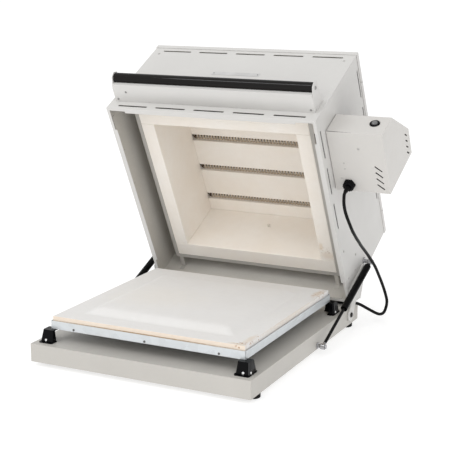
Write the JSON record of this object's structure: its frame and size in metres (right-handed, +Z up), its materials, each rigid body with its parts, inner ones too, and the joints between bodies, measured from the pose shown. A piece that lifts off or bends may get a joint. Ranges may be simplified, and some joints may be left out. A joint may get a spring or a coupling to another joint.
{
  "type": "bead annealing kiln",
  "caption": "Table-top bead annealing kiln: flat hearth on a base pan under an insulated square hood that hinges at the rear on gas springs, with a side control box and a handle bar.",
  "frame": {"origin": "centre of the object's footprint, feet on z = 0, with the hood open as in the picture; the mains lead isn't counted", "axes": "+Z up, the front with the handle faces -Y, +X to the right where the control box is"},
  "size_m": [0.833, 0.9964, 0.8054],
  "materials": {
    "enamel_base": "satin powder coat",
    "enamel_hood": "satin powder coat",
    "enamel_box": "satin powder coat",
    "zinc_sheet": "galvanised",
    "bare_steel": "zinc plated",
    "inner_steel": "dull, heat stained",
    "black_steel": "gloss black",
    "black_rubber": "matt",
    "black_plastic": "moulded, glossy",
    "cord_jacket": "matt flexible jacket",
    "plug_plastic": "moulded",
    "hearth_board": "matt refractory board, lightly stained",
    "fibre_board": "matt vacuum-formed fibre board",
    "element_wire": "oxidised resistance wire",
    "porcelain": "unglazed porcelain",
    "plate_metal": "satin, bare",
    "panel_dark": "fine matt overlay",
    "display_red": "smoked window",
    "lamp_amber": "translucent lens",
    "key_grey": "moulded",
    "key_green": "moulded",
    "circuit_board": "solder mask",
    "relay_plastic": "moulded"
  },
  "bodies": {
    "base": {"base_pan": "enamel_base", "base_feet": "black_rubber", "floor_tray": "zinc_sheet", "tray_screws": "bare_steel", "corner_feet": "black_plastic", "corner_foot_screws": "bare_steel", "hearth_slab": "hearth_board", "hearth_panel": "hearth_board", "hinge_brackets": "bare_steel", "hinge_pins": "black_steel", "base_spring_studs": "bare_steel", "cord_lead": "cord_jacket", "cord_coil": "cord_jacket", "mains_plug": "plug_plastic"},
    "hood": {"hood_spring_studs": "bare_steel", "hood_shell": "enamel_hood", "roof_cover": "enamel_hood", "hood_screws": "bare_steel", "hinge_arm_right": "enamel_hood", "hinge_arm_left": "enamel_hood", "insulation_front": "fibre_board", "insulation_rear": "fibre_board", "insulation_left": "fibre_board", "insulation_right": "fibre_board", "insulation_roof": "fibre_board", "retaining_frame": "inner_steel", "frame_tabs": "inner_steel", "heating_elements": "element_wire", "element_terminals": "porcelain", "thermocouple": "porcelain", "handle_tube": "black_steel", "handle_bracket": "enamel_hood", "handle_screws": "bare_steel", "nameplate": "plate_metal", "nameplate_rivets": "bare_steel", "control_box_shell": "enamel_box", "control_box_backplate": "enamel_box", "box_screws": "bare_steel", "control_panel": "panel_dark", "display_window": "display_red", "indicator_lamp": "lamp_amber", "controller_board": "circuit_board", "power_relay": "relay_plastic", "terminal_block": "relay_plastic", "main_switch_bezel": "black_plastic", "cable_gland": "black_plastic", "strain_relief": "black_rubber", "cord_drop": "cord_jacket"},
    "rod_right": {"spring_rod_right": "black_steel", "rod_socket_right": "bare_steel"},
    "tube_right": {"spring_tube_right": "black_steel", "tube_socket_right": "bare_steel"},
    "rod_left": {"spring_rod_left": "black_steel", "rod_socket_left": "bare_steel"},
    "tube_left": {"spring_tube_left": "black_steel", "tube_socket_left": "bare_steel"},
    "key_up": {"key_up": "key_grey"},
    "key_down": {"key_down": "key_grey"},
    "key_start": {"key_start": "key_green"},
    "switch_button": {"main_switch_button": "key_grey"}
  },
  "joints": [
    {"name": "hood_hinge", "type": "hinge", "parent": "base", "child": "hood", "pos_m": [-0.0645, 0.1798, 0.043], "axis": [1, 0, 0], "range_deg": [0, 63.2]},
    {"name": "rod_pivot_right", "type": "hinge", "parent": "base", "child": "rod_right", "pos_m": [0.2775, -0.0702, 0.023], "axis": [1, 0, 0], "range_deg": [0, 24.5]},
    {"name": "tube_pivot_right", "type": "hinge", "parent": "hood", "child": "tube_right", "pos_m": [0.2775, 0.30268, 0.17677], "axis": [1, 0, 0], "range_deg": [-39.9, 0]},
    {"name": "rod_pivot_left", "type": "hinge", "parent": "base", "child": "rod_left", "pos_m": [-0.4065, -0.0702, 0.023], "axis": [1, 0, 0], "range_deg": [0, 24.5]},
    {"name": "tube_pivot_left", "type": "hinge", "parent": "hood", "child": "tube_left", "pos_m": [-0.4065, 0.30268, 0.17677], "axis": [1, 0, 0], "range_deg": [-39.9, 0]},
    {"name": "key_down_press", "type": "slide", "parent": "hood", "child": "key_down", "axis": [0, -0.3123, -0.95], "range_m": [0, 0.001], "stiffness_N_per_m": 400, "springref_m": -0.002},
    {"name": "key_up_press", "type": "slide", "parent": "hood", "child": "key_up", "axis": [0, -0.3123, -0.95], "range_m": [0, 0.001], "stiffness_N_per_m": 400, "springref_m": -0.002},
    {"name": "key_start_press", "type": "slide", "parent": "hood", "child": "key_start", "axis": [0, -0.3123, -0.95], "range_m": [0, 0.001], "stiffness_N_per_m": 400, "springref_m": -0.002},
    {"name": "switch_press", "type": "slide", "parent": "hood", "child": "switch_button", "axis": [0, 0.4509, -0.8926], "range_m": [0, 0.003], "stiffness_N_per_m": 400, "springref_m": -0.003}
  ],
  "couplings": [
    {"joint": "rod_pivot_right", "follows": "hood_hinge", "ratio": 0.378},
    {"joint": "tube_pivot_right", "follows": "hood_hinge", "ratio": -0.622},
    {"joint": "rod_pivot_left", "follows": "hood_hinge", "ratio": 0.378},
    {"joint": "tube_pivot_left", "follows": "hood_hinge", "ratio": -0.622}
  ]
}
